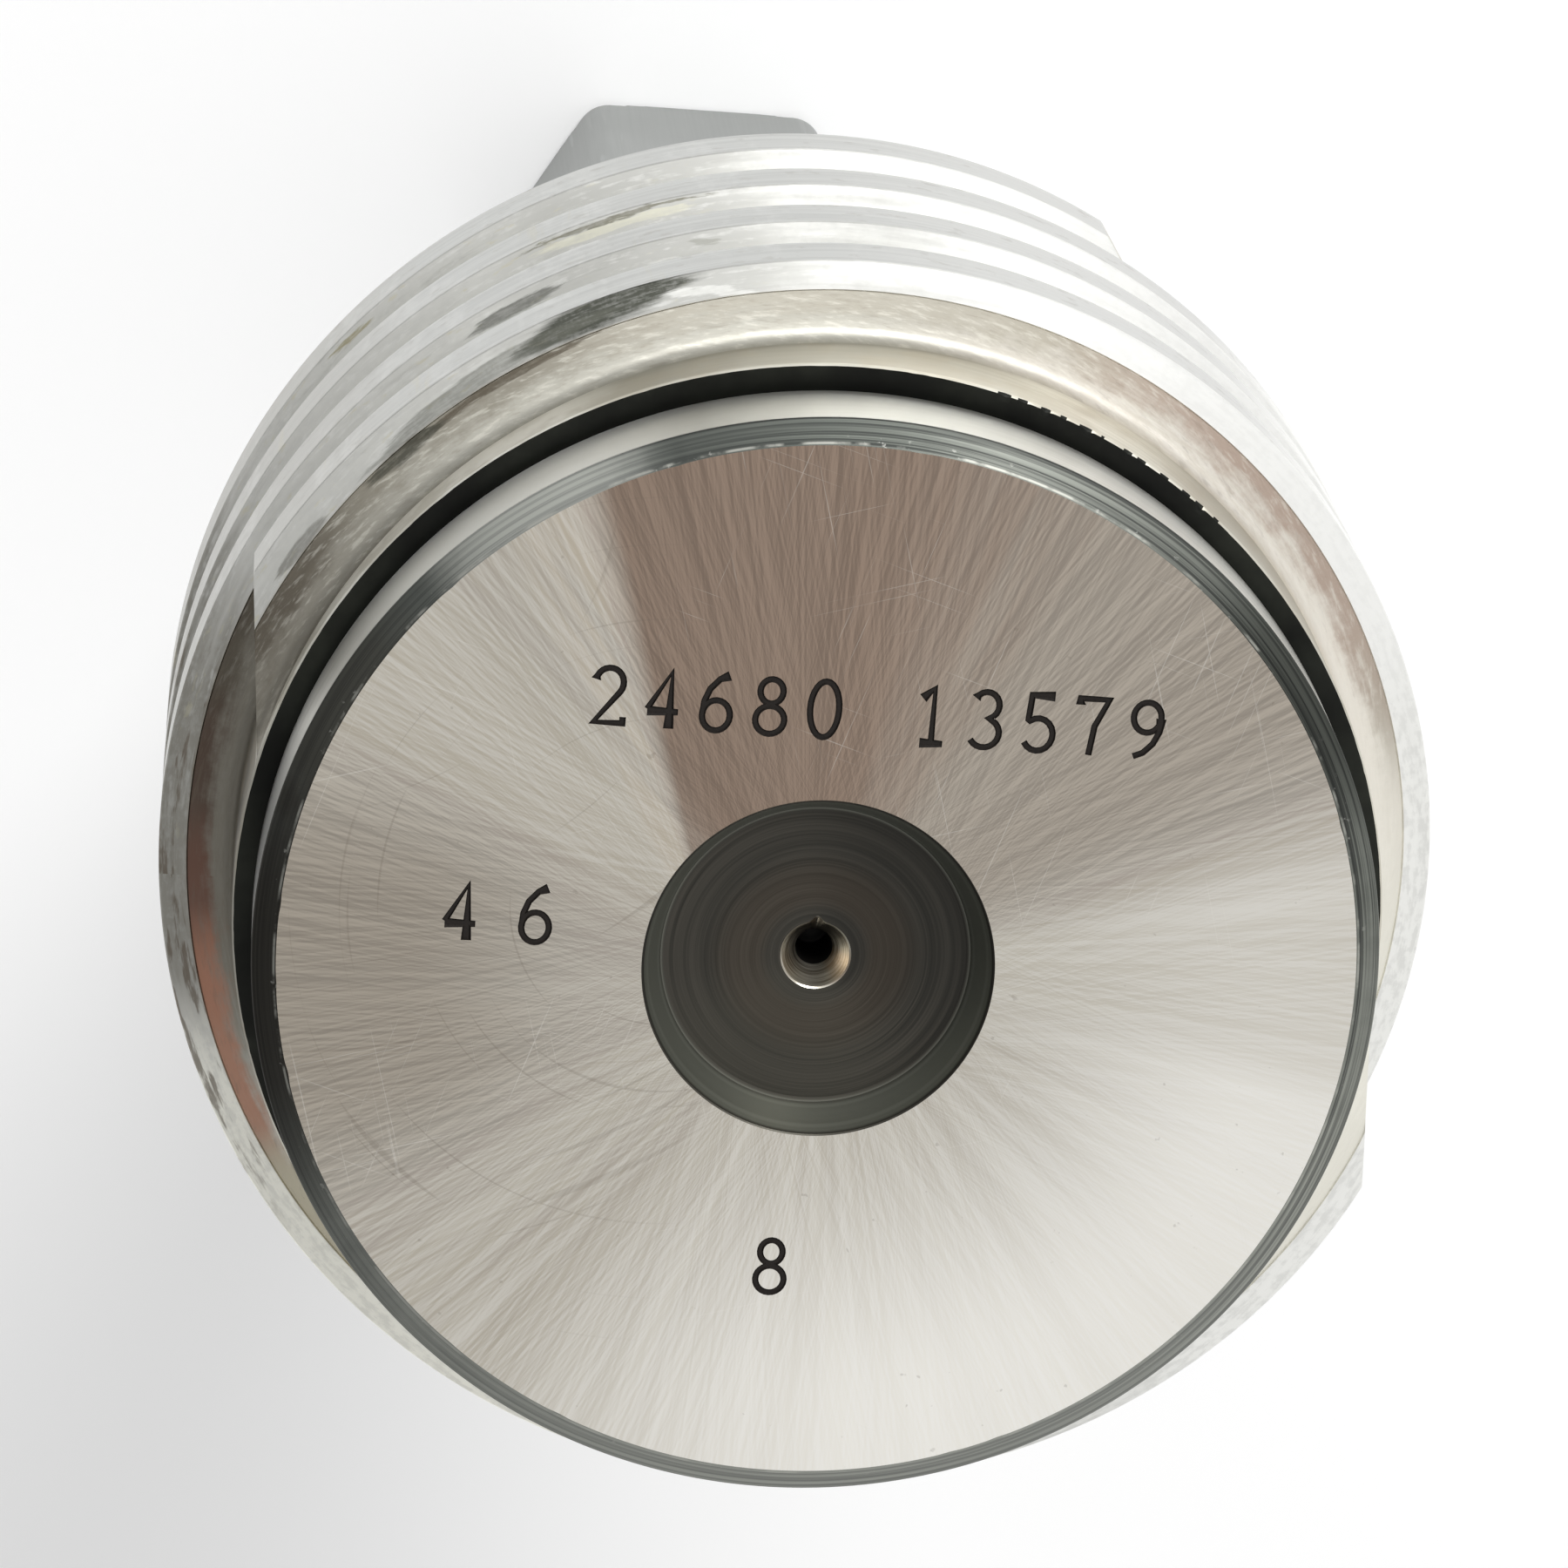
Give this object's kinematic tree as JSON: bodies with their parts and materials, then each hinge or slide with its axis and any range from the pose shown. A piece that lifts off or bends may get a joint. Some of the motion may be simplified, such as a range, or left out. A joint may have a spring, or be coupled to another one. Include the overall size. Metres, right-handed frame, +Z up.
{
  "type": "thread plug gauge",
  "caption": "Thread plug gauge with a ground pilot, coarse two-start trapezoidal ridges and a hexagonal handle, for checking an internal thread.",
  "frame": {"origin": "centre of the handle's flat end, on the gauge's axis", "axes": "+Z up along the gauge's axis from the handle's end to the marked front face; +X and +Y are right and up on that face as its marks are read"},
  "size_m": [0.0776, 0.0776, 0.1665],
  "materials": {
    "gauge_steel": "ground and polished tool steel, with turned dark chamfer, groove and recess",
    "handle_alloy": "satin blue-grey",
    "pin_steel": "plain ground pin"
  },
  "bodies": {
    "root": {"gauge_plug": "gauge_steel", "hex_handle": "handle_alloy", "locking_pin": "pin_steel"}
  },
  "joints": []
}
